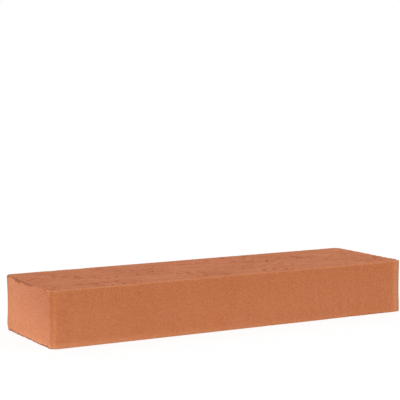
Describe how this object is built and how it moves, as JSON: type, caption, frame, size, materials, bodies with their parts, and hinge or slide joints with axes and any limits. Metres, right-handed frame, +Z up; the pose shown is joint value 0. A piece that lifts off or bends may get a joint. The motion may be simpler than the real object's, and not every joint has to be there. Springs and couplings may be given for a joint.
{
  "type": "clay brick",
  "caption": "Long solid facing brick of fired clay, with flat wire-cut beds, smooth faces and rounded upright corners.",
  "frame": {"origin": "centre of the lower bed, in the plane that the brick rests on", "axes": "+X along the length, +Y through the width, +Z up through the height"},
  "size_m": [0.39, 0.115, 0.053],
  "materials": {
    "fired_clay": "matte unglazed terracotta, fine grained"
  },
  "bodies": {
    "root": {"brick": "fired_clay"}
  },
  "joints": []
}
